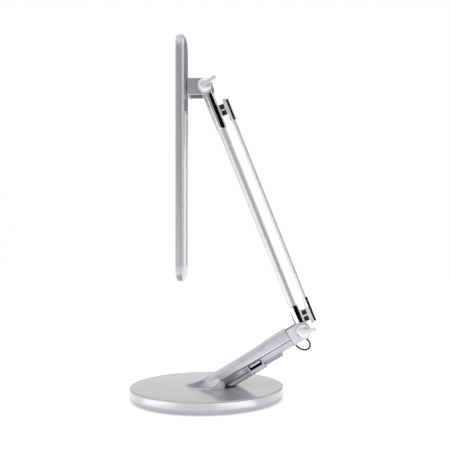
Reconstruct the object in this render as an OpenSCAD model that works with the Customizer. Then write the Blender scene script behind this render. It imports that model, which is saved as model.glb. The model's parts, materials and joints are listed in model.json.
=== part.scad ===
// Folding LED desk lamp: round weighted base, leaning neck with a USB charging port,
// twin-tube arm and a slim bar-shaped light head on two clamped friction hinges.
// Origin at the centre of the base on the table, +Z up, the arm leans in the XZ plane.
// Millimetres.

/* [Base] */
// Diameter of the round base
base_d = 153; // [135:1:190]
// Height of the base's top face above the table
base_h = 13; // [12:0.5:18]
// Height of the joint line between tray and top cover
tray_h = 5; // [4.5:0.1:6]
// Radius of the tray's inward curve at its edge
tray_curve = 4; // [3:0.1:4.2]
// Wall of the top cover and of the tray
base_wall = 2; // [1.6:0.1:2.4]
// Round along the cover's top edge
cover_round = 1.4; // [0.8:0.1:1.8]
// Diameter of the steel ballast disc
ballast_d = 132; // [110:1:133]
// Thickness of the steel ballast disc
ballast_t = 5.5; // [4:0.5:6]
// Diameter of the foam mat under the tray
mat_d = 137; // [110:1:140]
// How far the mat stands below the tray
mat_t = 1; // [0.6:0.1:1.4]

/* [Neck] */
// Slope of the neck above the horizontal
neck_tilt = 30.6; // [27:0.1:36]
// Where the neck's joint line meets the base's top face
neck_x = 5.2; // [0:0.1:9]
// Width of the neck across the lamp
neck_w = 22.6; // [22.6:0.1:27]
// Height of the upper shell above the joint line
neck_up = 9.4; // [8.8:0.1:11]
// Depth of the lower cover below the joint line at the foot
neck_down = 11; // [10.6:0.1:13]
// Distance along the neck from the base to the end of the hood
neck_len = 91; // [88:1:110]
// How far the hood stands above the rest of the upper shell
hood_rise = 1.8; // [1:0.1:2.4]
// Length of the hood
hood_len = 22; // [18:1:26]
// Wall of both neck shells
neck_wall = 1.4; // [1.2:0.1:1.6]
// Distance along the neck to the middle of the USB port
usb_s = 48.2; // [44:0.1:52]
// Radius of the round foot that the neck stands on
foot_r = 24.3; // [22:0.1:27]
// Thickness of the round foot
foot_t = 1.2; // [0.8:0.1:2]

/* [Hinges] */
// Diameter of both hinge bolts
bolt_d = 6; // [5:0.5:6.5]
// Width of the arm's hinge eyes
eye_w = 12.8; // [12:0.2:14]
// Outer radius of the arm's hinge eyes
eye_r = 7; // [6.5:0.1:7.6]
// Thickness of each friction washer
washer_t = 0.6; // [0.4:0.1:0.8]
// Thickness of each cheek at the neck's end
cheek_t = 2.5; // [2.1:0.1:2.5]
// Radius of the cheeks' round ends
cheek_r = 8.4; // [8:0.1:9.4]
// Distance from the hood's end to the lower hinge
hinge_reach = 14.2; // [14:0.1:18]
// Radius of the clamp knobs
knob_r = 7; // [6.5:0.1:8]
// Height of the clamp knobs
knob_h = 6.8; // [6.4:0.1:8]
// Reach of the clamp levers from the bolt's centre
lever_len = 13.6; // [11:0.1:18]

/* [Arm] */
// Lean of the arm from vertical
arm_tilt = 21.8; // [15:0.1:25]
// Distance between the two hinges
arm_len = 260; // [230:1:300]
// Outer diameter of the main tube
tube_d = 8.4; // [7:0.1:8.8]
// Diameter of the rear rod
rod_d = 3.8; // [3:0.1:4.2]
// Distance between the main tube and the rear rod
rod_gap = 14.5; // [13:0.1:17]
// Outer diameter of the polished sleeves on the main tube
sleeve_d = 10.8; // [10.6:0.1:12]
// Outer diameter of the polished sleeves on the rear rod
rod_sleeve_d = 6; // [5.6:0.1:7]

/* [Head] */
// Length of the light head
head_len = 245; // [220:1:290]
// Width of the light head
head_w = 40; // [38:1:50]
// Thickness of the light head
head_t = 8.3; // [8:0.1:10]
// Radius of the head's corners
head_r = 16.5; // [12:0.5:18]
// Depth of the front frame from the light face to the joint line
frame_t = 2.8; // [2.6:0.1:3.2]
// Wall of the head's two shells
head_wall = 1.5; // [1.2:0.1:1.8]
// Distance from the head's top end to its swivel
head_over = 52; // [48:1:60]
// Width of the light window
window_w = 26; // [20:1:28]
// Distance from the upper hinge to the light face
face_reach = 19.4; // [19:0.1:24]

/* [Hidden] */
$fn = 96;
hull_fn = 32;
eps = 0.01;

// Clearances
seat_gap = 0.1;      // between a part and the pocket that it drops into
run_gap = 0.05;      // radial, between a pin and the bore that it turns in
hinge_gap = 0.3;     // between faces that slide past each other

// Hinge positions worked out from the neck and the arm
pivot_s = neck_len + hinge_reach;
pivot_n = 1.5;
low_x = neck_x + pivot_s * cos(neck_tilt) - pivot_n * sin(neck_tilt);
low_z = base_h + pivot_s * sin(neck_tilt) + pivot_n * cos(neck_tilt);
up_x = low_x - arm_len * sin(arm_tilt);
up_z = low_z + arm_len * cos(arm_tilt);
fork_in = eye_w / 2 + hinge_gap + washer_t;

// Base details
tray_floor = mat_t + base_wall;
tray_screw_r = base_d / 2 - 18.5;
boss_d = 7;
tray_boss_top = tray_floor + 1.2;
screw3_d = 3;
screw3_head = 5.6;
screw3_head_t = 1.9;
inlet_z = tray_h + 3.4;
inlet_nose = 6;
inlet_bore = 3.8;
inlet_pin = 1.3;
inlet_body = [9, 11, 6];
inlet_wall_y = base_d / 2 - base_wall;
foot_screw_x = [neck_x - 5.2, neck_x + 3.8, neck_x + 12.8];
foot_screw_d = 4;
foot_screw_head = 7;
foot_screw_head_t = 2.2;
foot_plate_t = 3.5;

// Neck details
foot_x = neck_x - 1.7;
foot_split_x = foot_x + 15.3;   // the silver foot ends here and the rubber seal goes on
neck_round = 4;
neck_taper = 2.6;        // how much narrower each side of the lower cover is at its bottom
step_depth = 9.8;        // depth of the lower cover from the USB port to the comb
comb_depth = 6.7;        // depth of the lower cover at the comb
usb_block = [17.2, step_depth];
usb_n = -3.5;
usb_open = [14, 5.8];
usb_shell = [13.2, 5.5, 14];
usb_shell_wall = 0.4;
comb_s = neck_len - 14.4;
comb_slots = 4;
spine_w = 12;
spine_n = [1.5, 6.5];
block_s = [neck_len - 9, neck_len + 1.6];
cover_screw_s = [30, 66];

// Arm details
sleeve_s = [26, arm_len - 44];       // where the main sleeves end along the arm
rod_sleeve_lo = [2, 29.4];
rod_sleeve_hi = [arm_len - 40.2, arm_len - 16.2];
bridge_lo = [6.4, 19.2];
bridge_hi = [arm_len - 33.2, arm_len - 20.8];
bridge_w = 6.4;
plug_size = 4.9;
plug_depth = 1.2;
tube_wall = 1;
tube_start = 10;
stub_d = 8;
stub_u = -8.4;
grommet_d = 5.6;
cable_d = 1.9;

// Bracket and swivel details
ear_t = 3;
ear_r = 8;
flange_t = 2.5;
swivel_gap = 1.6;        // between the light face and the bracket's flange
swivel_disc_t = 0.8;
swivel_washer_t = 0.5;
swivel_pin_d = 7;
swivel_bore = 4;
swivel_disc_d = 18;
swivel_plate_t = 1.4;
swivel_nut_d = 12;
swivel_nut_t = 2;
flange_x = -face_reach + swivel_gap;

// Head stack, measured inwards from the light face
lip_t = 1.2;
diffuser_t = 1.2;
guide_t = 2;
film_t = 0.3;
gap_t = 0.05;
stack_diffuser = lip_t;
stack_guide = stack_diffuser + diffuser_t + gap_t;
stack_film = stack_guide + guide_t + gap_t;
window_top = -24;
window_bottom = head_over - head_len + 15;
window_r = 5;
stack_margin = 1.6;
guide_w = window_w + 2 * stack_margin;
head_bevel = 3;
back_bevel = 1;
head_screw_d = 2;
head_screw_head = 3.6;
head_screw_z = [head_over - 9, head_over - head_len + 7];
head_screw_y = 8;
led_count = 16;

// Route of the cable loop between neck and arm, across the lower hinge
cable_points = [
    [83.2, 0, 57.6], [86.4, 0, 54.8], [88.8, 0, 52.7], [91, 0, 50.9], [93.6, 0, 49.1], [96.4, 0, 48.1],
    [99.2, 0, 48.1], [101.6, 0, 49.4], [103, 0, 51.7], [103, 0, 54.4], [102, 0, 56.7], [100.2, 0, 58.4],
    [98.6, 0, 60], [97.2, 0, 62.2]
];
cable_sides = 8;

// ---------- shared shapes ----------

module rounded_rect(w, h, r) {
    square([w - 2 * r, h], center = true);
    square([w, h - 2 * r], center = true);
    for (sx = [-1, 1], sy = [-1, 1])
        translate([sx * (w / 2 - r), sy * (h / 2 - r)]) circle(r = r);
}

// A cylinder along Y from y0 to y1
module y_cylinder(d, y0, y1) {
    translate([0, y0, 0]) rotate([-90, 0, 0]) cylinder(d = d, h = y1 - y0);
}

// A cylinder along X from x0 to x1
module x_cylinder(d, x0, x1) {
    translate([x0, 0, 0]) rotate([0, 90, 0]) cylinder(d = d, h = x1 - x0);
}

// A screw pointing up, its head's underside at z = 0
module screw(d, len, head_d, head_t) {
    translate([0, 0, -head_t * 0.3]) cylinder(d = d, h = len + head_t * 0.3);
    difference() {
        translate([0, 0, -head_t]) cylinder(d = head_d, h = head_t);
        translate([0, 0, -head_t - eps]) cylinder(d = head_d * 0.45, h = head_t * 0.5, $fn = 6);
    }
}

// Frames: neck (x along it, z across it), arm (z along it), upper hinge, head face
module neck_frame() { translate([neck_x, 0, base_h]) rotate([0, -neck_tilt, 0]) children(); }
module low_frame() { translate([low_x, 0, low_z]) children(); }
module arm_frame() { translate([low_x, 0, low_z]) rotate([0, -arm_tilt, 0]) children(); }
module up_frame() { translate([up_x, 0, up_z]) children(); }
module head_frame() { translate([up_x - face_reach, 0, up_z]) children(); }

// A slab of the rounded outline in the YZ plane from depth d0 to d1 behind the light face,
// between heights z0 and z1
module head_slab(w, z0, z1, r, d0, d1) {
    translate([-d1, 0, (z0 + z1) / 2]) rotate([90, 0, 90])
        linear_extrude(d1 - d0) rounded_rect(w, z1 - z0, r);
}

// ---------- base ----------

module cover_profile(r, top, rnd) {
    square([r, top - rnd - tray_h]);
    square([r - rnd, top - tray_h]);
    translate([r - rnd, top - rnd - tray_h]) circle(r = rnd);
}

module foot_screw_holes(d, z0, z1) {
    for (x = foot_screw_x) translate([x, 0, z0]) cylinder(d = d, h = z1 - z0);
}

module tray_screw_spots() {
    for (a = [45:90:315]) rotate(a) translate([tray_screw_r, 0, 0]) children();
}

module base_top_cover() {
    color("#c4c4c8") {
        difference() {
            translate([0, 0, tray_h]) rotate_extrude()
                intersection() {
                    cover_profile(base_d / 2, base_h, cover_round);
                    square([base_d, base_h]);
                }
            translate([0, 0, tray_h - eps])
                cylinder(d = base_d - 2 * base_wall, h = base_h - base_wall - tray_h + eps);
            foot_screw_holes(foot_screw_d + 2 * seat_gap, base_h - base_wall - eps, base_h + eps);
            translate([0, inlet_wall_y - 1, inlet_z])
                y_cylinder(inlet_nose + 2 * seat_gap, 0, base_wall + 2);
        }
        tray_screw_spots() difference() {
            translate([0, 0, tray_boss_top])
                cylinder(d = boss_d, h = base_h - base_wall - tray_boss_top + eps);
            translate([0, 0, tray_boss_top - eps])
                cylinder(d = screw3_d, h = base_h - base_wall - tray_boss_top - 1);
        }
    }
}

module base_bottom_tray() {
    spigot_r = base_d / 2 - base_wall - seat_gap;
    color("#a9a9ae") difference() {
        union() {
            rotate_extrude() intersection() {
                union() {
                    translate([0, mat_t]) square([base_d / 2 - tray_curve, tray_h - mat_t]);
                    translate([base_d / 2 - tray_curve, tray_h]) circle(r = tray_curve);
                }
                translate([0, mat_t]) square([base_d / 2, tray_h - mat_t]);
            }
            difference() {
                translate([0, 0, tray_floor]) cylinder(r = spigot_r, h = tray_h + 1.2 - tray_floor);
                translate([0, 0, tray_floor - eps])
                    cylinder(r = spigot_r - 1.6, h = tray_h + 2 - tray_floor);
            }
        }
        translate([0, 0, tray_floor]) cylinder(r = spigot_r - 1.6, h = tray_h);
        tray_screw_spots() translate([0, 0, mat_t - eps]) cylinder(d = screw3_head + 1, h = 9);
        translate([-inlet_body[0] / 2 - 1, inlet_wall_y - inlet_body[1] - 1, tray_floor + 1.2])
            cube([inlet_body[0] + 2, inlet_body[1] + 1, 9]);
    }
    // Screw bosses of the tray
    color("#a9a9ae") tray_screw_spots() difference() {
        translate([0, 0, mat_t]) cylinder(d = screw3_head + 3.4, h = tray_boss_top - mat_t);
        translate([0, 0, mat_t - eps]) cylinder(d = screw3_head + 0.4, h = screw3_head_t + eps);
        translate([0, 0, mat_t]) cylinder(d = screw3_d + 2 * seat_gap, h = 9);
    }
}

module base_ballast() {
    color("#6d6f73") difference() {
        translate([0, 0, tray_floor]) cylinder(d = ballast_d, h = ballast_t);
        tray_screw_spots() translate([0, 0, tray_floor - 1])
            cylinder(d = screw3_head + 4.4, h = ballast_t + 2);
        foot_screw_holes(foot_screw_head + 1.4, tray_floor - 1, tray_floor + ballast_t + 1);
        translate([-inlet_body[0] / 2 - 1.5, inlet_wall_y - inlet_body[1] - 2, 0])
            cube([inlet_body[0] + 3, 30, 20]);
    }
}

module foot_mat() {
    color("#2b2b2d") cylinder(d = mat_d, h = mat_t);
}

module tray_screws() {
    color("#8d9095") tray_screw_spots() translate([0, 0, mat_t + screw3_head_t])
        screw(screw3_d, 6, screw3_head, screw3_head_t - 0.2);
}

module neck_foot_screws() {
    color("#8d9095") for (x = foot_screw_x) translate([x, 0, base_h - base_wall])
        screw(foot_screw_d, base_wall + foot_plate_t - 0.4, foot_screw_head, foot_screw_head_t);
}

module dc_inlet() {
    color("#1d1d1f") difference() {
        union() {
            translate([-inlet_body[0] / 2, inlet_wall_y - inlet_body[1] - 0.4,
                base_h - base_wall - seat_gap - inlet_body[2]]) cube(inlet_body);
            translate([0, 0, inlet_z]) y_cylinder(inlet_nose, inlet_wall_y - 0.9, base_d / 2 - 0.2);
        }
        translate([0, 0, inlet_z]) y_cylinder(inlet_bore, inlet_wall_y - inlet_body[1] + 2, base_d);
    }
}

module dc_inlet_pin() {
    color("#c9c9cc") translate([0, 0, inlet_z])
        y_cylinder(inlet_pin, inlet_wall_y - inlet_body[1] + 2, base_d / 2 - 1.2);
}

// ---------- neck ----------

// Section of the upper shell, standing on the joint line
module upper_section(w, h, r) {
    intersection() {
        rounded_rect(w, 2 * h, r);
        translate([-w / 2, 0]) square([w, h]);
    }
}

// Section of the lower cover, hanging from the joint line, with its sides drawn in
module lower_section(w, depth, taper, inset) {
    low = w / 2 - inset - taper * (depth - inset) / neck_down;
    polygon([
        [-w / 2 + inset, 0], [w / 2 - inset, 0], [low + 0.4, -depth + inset + 1.6],
        [low - 0.8, -depth + inset], [-low + 0.8, -depth + inset], [-low - 0.4, -depth + inset + 1.6]
    ]);
}

module along_neck(s0, s1) {
    neck_frame() translate([s0, 0, 0]) rotate([90, 0, 90]) linear_extrude(s1 - s0) children();
}

// Everything above the base's top face by more than h
module above_base(h) {
    translate([-100, -100, base_h + h]) cube([300, 200, 200]);
}

module upper_body(inset) {
    r = neck_round - inset;
    along_neck(-40, neck_len + 1 * sign(inset)) upper_section(neck_w - 2 * inset, neck_up - inset, r);
    along_neck(neck_len - hood_len, neck_len + 1 * sign(inset))
        upper_section(neck_w - 2 * inset, neck_up + hood_rise - inset, r);
    if (inset == 0) neck_frame() hull() {
        translate([neck_len - hood_len, 0, 0]) rotate([90, 0, 90]) linear_extrude(eps)
            upper_section(neck_w, neck_up + hood_rise, r, $fn = hull_fn);
        translate([neck_len - hood_len - 6, 0, 0]) rotate([90, 0, 90]) linear_extrude(eps)
            upper_section(neck_w, neck_up, r, $fn = hull_fn);
    }
}

module lower_body(inset) {
    along_neck(-10, usb_s - usb_block[0] / 2) lower_section(neck_w, neck_down, neck_taper, inset);
    along_neck(usb_s - usb_block[0] / 2 - 2 * inset, comb_s)
        lower_section(neck_w, step_depth, neck_taper, inset);
    along_neck(comb_s - 2 * inset, neck_len + 1 * sign(inset))
        lower_section(neck_w, comb_depth, neck_taper, inset);
}

module neck_upper_shell() {
    color("#b9b9bd") difference() {
        intersection() {
            upper_body(0);
            above_base(foot_t);
        }
        upper_body(neck_wall);
        neck_frame() translate([-60, -neck_w / 2 + neck_wall, -1])
            cube([neck_len + 70, neck_w - 2 * neck_wall, 1 + eps]);
    }
}

module cover_bosses(d) {
    neck_frame() for (s = cover_screw_s) translate([s, 0, -neck_down])
        cylinder(d = d, h = neck_down + spine_n[0]);
}

module neck_lower_cover() {
    block_x = usb_s - usb_block[0] / 2;
    color("#a3a3a9") difference() {
        union() {
            difference() {
                intersection() {
                    lower_body(0);
                    above_base(foot_t);
                }
                lower_body(neck_wall);
            }
            // Raised block round the USB port, flush with the upper shell
            neck_frame() translate([block_x, -neck_w / 2, -usb_block[1]])
                cube([usb_block[0], neck_taper + neck_wall, usb_block[1] - 0.2]);
            intersection() {
                cover_bosses(6.2);
                lower_body(0);
            }
            // Stand-offs between the bosses and the spine
            intersection() {
                cover_bosses(6.2);
                neck_frame() translate([0, -5, -3]) cube([neck_len, 10, 3 + spine_n[0]]);
            }
        }
        neck_frame() {
            translate([usb_s - usb_open[0] / 2, -neck_w / 2 - 1, usb_n - usb_open[1] / 2])
                cube([usb_open[0], 8, usb_open[1]]);
            for (i = [0:comb_slots - 1])
                translate([comb_s + 2.4 + i * 3, -neck_w, -comb_depth - 1]) cube([1.2, 2 * neck_w, 1.8]);
            for (s = cover_screw_s) {
                translate([s, 0, -neck_down - 1]) cylinder(d = screw3_d + 2 * seat_gap, h = 30);
                depth = s < usb_s ? neck_down : step_depth;
                translate([s, 0, -depth - 1]) cylinder(d = screw3_head + 0.4, h = 1 + screw3_head_t);
            }
        }
        cable_slot(seat_gap, 2);
    }
}

// Everything of the neck's foot between two places along X
module foot_part(x0, x1) {
    difference() {
        intersection() {
            union() {
                upper_body(0);
                lower_body(0);
                translate([foot_x, 0, base_h]) cylinder(r = foot_r, h = foot_t);
            }
            translate([x0, -100, base_h]) cube([x1 - x0, 200, foot_t]);
        }
        upper_body(neck_wall);
        lower_body(neck_wall);
        neck_frame() translate([-60, -neck_w / 2 + neck_wall, -1])
            cube([neck_len + 70, neck_w - 2 * neck_wall, 2]);
    }
}

// The round silver foot, open at the back of the toe
module neck_foot_flange() {
    color("#b9b9bd") foot_part(-100, foot_split_x);
}

// The rubber seal that fills the foot's open side
module neck_foot_seal() {
    color("#19191b") foot_part(foot_split_x, 100);
}

module neck_cover_screws() {
    color("#8d9095") neck_frame() for (s = cover_screw_s) {
        depth = s < usb_s ? neck_down : step_depth;
        translate([s, 0, -depth + screw3_head_t])
            screw(screw3_d, depth - screw3_head_t + spine_n[1] - 1, screw3_head, screw3_head_t - 0.4);
    }
}

module neck_spine() {
    fork_w = fork_in + cheek_t;
    fork_top = neck_up + hood_rise - neck_round;
    color("#7d8086") difference() {
        union() {
            // Foot plate
            translate([neck_x - 9, -7, base_h]) cube([26, 14, foot_plate_t]);
            // Inclined bar
            intersection() {
                neck_frame() translate([-20, -spine_w / 2, spine_n[0]])
                    cube([block_s[0] + 21, spine_w, spine_n[1] - spine_n[0]]);
                above_base(0);
            }
            // Cross block inside the hood, and the two cheeks beyond it
            neck_frame() {
                translate([block_s[0], -fork_w, 0.2])
                    cube([block_s[1] - block_s[0], 2 * fork_w, fork_top - 0.2]);
                for (side = [-1, 1]) translate([0, side * (fork_in + cheek_t / 2), 0]) {
                    translate([pivot_s, 0, pivot_n])
                        y_cylinder(2 * cheek_r, -cheek_t / 2, cheek_t / 2);
                    translate([neck_len + 0.2, -cheek_t / 2, pivot_n - cheek_r])
                        cube([pivot_s - neck_len - 0.2, cheek_t, 2 * cheek_r]);
                }
            }
        }
        neck_frame() {
            translate([pivot_s, 0, pivot_n]) y_cylinder(bolt_d, -30, 30);
            for (s = cover_screw_s) translate([s, 0, -1]) cylinder(d = screw3_d, h = spine_n[1]);
        }
        foot_screw_holes(foot_screw_d, base_h - 1, base_h + foot_plate_t - 0.3);
    }
}

// The slot for the cable's grommet at the end of the lower cover
module cable_slot(grow, extra) {
    neck_frame() translate([neck_len - 3 - grow, -2.7 - grow, -comb_depth + 0.1 - extra])
        cube([3 + 0.4 + grow + extra, 5.4 + 2 * grow, 4.4 + extra + grow]);
}

module neck_grommet() {
    run = cable_points[1] - cable_points[0];
    color("#19191b") difference() {
        cable_slot(0, 0);
        translate(cable_points[0] - run) rotate([0, 90 - atan2(run[2], run[0]), 0])
            cylinder(d = cable_d, h = 4 * norm(run));
    }
}

module usb_box(grow, y0, y1) {
    neck_frame() translate([usb_s - usb_shell[0] / 2 - grow, y0, usb_n - usb_shell[1] / 2 - grow])
        cube([usb_shell[0] + 2 * grow, y1 - y0, usb_shell[1] + 2 * grow]);
}

module usb_receptacle() {
    front = -neck_w / 2 + 0.4;
    color("#c9c9cc") difference() {
        usb_box(0, front, front + usb_shell[2]);
        usb_box(-usb_shell_wall, front - 1, front + usb_shell[2] - 1);
    }
}

module usb_tongue() {
    front = -neck_w / 2 + 1.2;
    color("#e9e9e6") neck_frame()
        translate([usb_s - 5.6, front, usb_n + 0.1]) cube([11.2, usb_shell[2] - 1.8, 1.8]);
}

module usb_board() {
    color("#2f6b45") neck_frame()
        translate([usb_s - 8, -6.6, usb_n - usb_shell[1] / 2 - 1.2]) cube([17, 13.2, 1.2]);
}

// ---------- hinges ----------

// A clamp bolt along Y: button head on the far side, its end inside the knob
module pivot_bolt(half) {
    y_cylinder(bolt_d, -half - knob_h + 2.4, half + 0.1);
    rotate([-90, 0, 0]) translate([0, 0, half]) rotate_extrude() intersection() {
        union() {
            square([5.6, 1.2]);
            translate([0, -4.8]) circle(r = 7.4);
        }
        square([5.6, 2.6]);
    }
}

// A domed clamp knob with a short lever, facing -Y, its base at y = -half
module clamp_knob(half, angle) {
    dome_h = knob_h - 2.2;
    dome_r = (pow(knob_r, 2) + pow(dome_h, 2)) / (2 * dome_h);
    difference() {
        union() {
            rotate([90, 0, 0]) translate([0, 0, half]) rotate_extrude() {
                square([knob_r, 2.2]);
                intersection() {
                    translate([0, knob_h - dome_r]) circle(r = dome_r);
                    square([knob_r, knob_h]);
                }
            }
            rotate([0, -angle, 0]) {
                translate([0, -half - knob_h - 0.6, -2]) cube([lever_len - 2, 3.6, 4]);
                translate([lever_len - 2, 0, 0])
                    y_cylinder(4, -half - knob_h - 0.6, -half - knob_h + 3);
                y_cylinder(4, -half - knob_h - 0.6, -half - knob_h + 3);
            }
        }
        y_cylinder(bolt_d + 2 * run_gap, -half - knob_h + 2.2, -half + 1);
    }
}

module hinge_washers() {
    for (side = [-1, 1]) difference() {
        y = side * (fork_in - washer_t / 2);
        y_cylinder(2 * eye_r - 0.6, y - washer_t / 2, y + washer_t / 2);
        y_cylinder(bolt_d, y - 2, y + 2);
    }
}

low_half = fork_in + cheek_t;
up_half = fork_in + ear_t;

module lower_pivot_bolt() { color("#b4b6ba") low_frame() pivot_bolt(low_half); }
module lower_washers() { color("#3a3a3c") low_frame() hinge_washers(); }
module lower_knob() { color("#d3d3d6") low_frame() clamp_knob(low_half + hinge_gap, 13); }
module upper_pivot_bolt() { color("#b4b6ba") up_frame() pivot_bolt(up_half); }
module upper_washers() { color("#3a3a3c") up_frame() hinge_washers(); }
module upper_knob() { color("#d3d3d6") up_frame() clamp_knob(up_half + hinge_gap, 35); }

// ---------- arm ----------

module arm_main_tube() {
    color("#e4e4e8") arm_frame() difference() {
        translate([0, 0, tube_start]) cylinder(d = tube_d, h = arm_len - 2 * tube_start);
        translate([0, 0, tube_start - 1]) cylinder(d = tube_d - 2 * tube_wall, h = arm_len);
    }
}

module arm_rear_rod() {
    color("#e4e4e8") arm_frame() translate([rod_gap, 0, rod_sleeve_lo[0] + 4])
        cylinder(d = rod_d, h = rod_sleeve_hi[1] - rod_sleeve_lo[0] - 8);
}

// A sleeve with a hinge eye at z = 0, reaching up to z = top, with its free end drawn in
module eye_sleeve(top, stub) {
    difference() {
        union() {
            y_cylinder(2 * eye_r, -eye_w / 2, eye_w / 2);
            cylinder(d = sleeve_d, h = top - 1.6);
            translate([0, 0, top - 1.6]) cylinder(d1 = sleeve_d, d2 = tube_d + 1, h = 1.6);
            if (stub) translate([0, 0, stub_u]) cylinder(d = stub_d, h = -stub_u);
        }
        y_cylinder(bolt_d + 2 * run_gap, -20, 20);
        translate([0, 0, tube_start]) cylinder(d = tube_d, h = top);
        if (stub) translate([0, 0, stub_u - 1]) cylinder(d = grommet_d, h = 4.2);
    }
}

module lower_main_sleeve() { color("#dcdce0") arm_frame() eye_sleeve(sleeve_s[0], true); }

module upper_main_sleeve() {
    color("#dcdce0") arm_frame() translate([0, 0, arm_len]) rotate([180, 0, 0])
        eye_sleeve(arm_len - sleeve_s[1], false);
}

// A slim sleeve on the rear rod with a round closed end
module rod_sleeve(u0, u1, closed_low) {
    r = rod_sleeve_d / 2;
    end = closed_low ? u0 + r : u1 - r;
    translate([rod_gap, 0, 0]) difference() {
        union() {
            translate([0, 0, closed_low ? end : u0]) cylinder(r = r, h = u1 - u0 - r);
            translate([0, 0, end]) sphere(r = r);
        }
        translate([0, 0, rod_sleeve_lo[0] + 4])
            cylinder(d = rod_d, h = rod_sleeve_hi[1] - rod_sleeve_lo[0] - 8);
    }
}

module lower_rear_sleeve() {
    color("#dcdce0") arm_frame() rod_sleeve(rod_sleeve_lo[0], rod_sleeve_lo[1], true);
}
module upper_rear_sleeve() {
    color("#dcdce0") arm_frame() rod_sleeve(rod_sleeve_hi[0], rod_sleeve_hi[1], false);
}

function plug_v() = (sleeve_d / 2 + rod_gap - rod_sleeve_d / 2) / 2;
function plug_us(range) = [range[0] * 0.75 + range[1] * 0.25, range[0] * 0.25 + range[1] * 0.75];

module plug_boxes(range, grow) {
    for (u = plug_us(range), side = [-1, 1])
        translate([plug_v(), side * (bridge_w / 2 - plug_depth / 2 + grow), u])
            cube([plug_size, plug_depth, plug_size], center = true);
}

// The block that ties the slim sleeve to the main sleeve
module bridge(range) {
    difference() {
        translate([0, -bridge_w / 2, range[0]]) cube([rod_gap, bridge_w, range[1] - range[0]]);
        translate([0, 0, range[0] - 1]) cylinder(d = sleeve_d, h = range[1] - range[0] + 2);
        translate([rod_gap, 0, range[0] - 1]) cylinder(d = rod_sleeve_d, h = range[1] - range[0] + 2);
        plug_boxes(range, eps);
        plug_boxes(range, 0);
    }
}

module lower_bridge() { color("#d2d2d6") arm_frame() bridge(bridge_lo); }
module upper_bridge() { color("#d2d2d6") arm_frame() bridge(bridge_hi); }
module lower_bridge_plugs() { color("#232325") arm_frame() plug_boxes(bridge_lo, 0); }
module upper_bridge_plugs() { color("#232325") arm_frame() plug_boxes(bridge_hi, 0); }

module arm_grommet() {
    color("#19191b") arm_frame() difference() {
        union() {
            translate([0, 0, stub_u]) cylinder(d = grommet_d, h = 3.2);
            translate([0, 0, stub_u - 1.2]) cylinder(d = grommet_d + 1, h = 1.2);
        }
        translate([0, 0, stub_u - 2]) cylinder(d = 3.2, h = 6);
        translate([0, 0, stub_u - 1.3]) cylinder(d1 = grommet_d, d2 = 3.2, h = 1.3);
    }
}

// Tube swept along a route in the XZ plane: one ring of points at each route point
function route_dir(p, i) =
    let (a = p[max(i - 1, 0)], b = p[min(i + 1, len(p) - 1)], d = b - a) d / norm(d);
function route_ring(p, i, r, n) =
    let (t = route_dir(p, i), side = [0, 1, 0], up = cross(t, side))
    [for (k = [0:n - 1]) p[i] + r * (cos(360 * k / n) * side + sin(360 * k / n) * up)];
module swept_tube(p, r, n) {
    rings = len(p);
    points = [for (i = [0:rings - 1]) each route_ring(p, i, r, n)];
    walls = [for (i = [0:rings - 2], k = [0:n - 1])
        [i * n + k, i * n + (k + 1) % n, (i + 1) * n + (k + 1) % n, (i + 1) * n + k]];
    start = [for (k = [0:n - 1]) n - 1 - k];
    finish = [for (k = [0:n - 1]) (rings - 1) * n + k];
    polyhedron(points, concat(walls, [start], [finish]));
}

module cable_loop() { color("#161617") swept_tube(cable_points, cable_d / 2, cable_sides); }

// ---------- head bracket and swivel ----------

module head_bracket() {
    color("#c2c2c6") up_frame() difference() {
        union() {
            for (side = [-1, 1]) translate([0, side * (fork_in + ear_t / 2), 0]) {
                y_cylinder(2 * ear_r, -ear_t / 2, ear_t / 2);
                translate([flange_x, -ear_t / 2, -ear_r]) cube([-flange_x, ear_t, 2 * ear_r]);
            }
            translate([flange_x, -up_half, -ear_r]) cube([flange_t, 2 * up_half, 2 * ear_r]);
        }
        y_cylinder(bolt_d, -30, 30);
        x_cylinder(swivel_pin_d + 2 * run_gap, flange_x - 1, flange_x + flange_t + 1);
    }
}

module swivel_washer() {
    color("#3a3a3c") up_frame() difference() {
        x_cylinder(swivel_disc_d - 4, flange_x - swivel_washer_t, flange_x);
        x_cylinder(swivel_pin_d + 2 * run_gap, flange_x - 2, flange_x + 1);
    }
}

module swivel_disc() {
    color("#2c2c2e") up_frame() difference() {
        x_cylinder(swivel_disc_d - 2, -face_reach, -face_reach + swivel_disc_t);
        x_cylinder(swivel_pin_d, -face_reach - 1, -face_reach + 2);
    }
}

module swivel_pin() {
    stop = flange_x + flange_t + hinge_gap + swivel_nut_t;
    color("#b4b6ba") up_frame() difference() {
        union() {
            x_cylinder(swivel_pin_d, -face_reach - lip_t - swivel_plate_t, stop);
            x_cylinder(swivel_pin_d + 6, -face_reach - lip_t - swivel_plate_t - 1,
                -face_reach - lip_t - swivel_plate_t);
        }
        x_cylinder(swivel_bore, -face_reach - 20, stop + 1);
    }
}

module swivel_nut() {
    inner = flange_x + flange_t + hinge_gap;
    color("#9a9ca1") up_frame() difference() {
        translate([inner, 0, 0]) rotate([0, 90, 0]) cylinder(d = swivel_nut_d, h = swivel_nut_t, $fn = 6);
        x_cylinder(swivel_pin_d, inner - 1, inner + swivel_nut_t + 1);
    }
}

module swivel_plate() {
    color("#7d8086") head_frame() difference() {
        head_slab(28, -16, 30, 3, lip_t, lip_t + swivel_plate_t);
        x_cylinder(swivel_pin_d, -20, 5);
    }
}

// ---------- head ----------

module head_bosses(d, d0, d1) {
    for (z = head_screw_z, side = [-1, 1]) translate([0, side * head_screw_y, z])
        x_cylinder(d, -d1, -d0);
}

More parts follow.
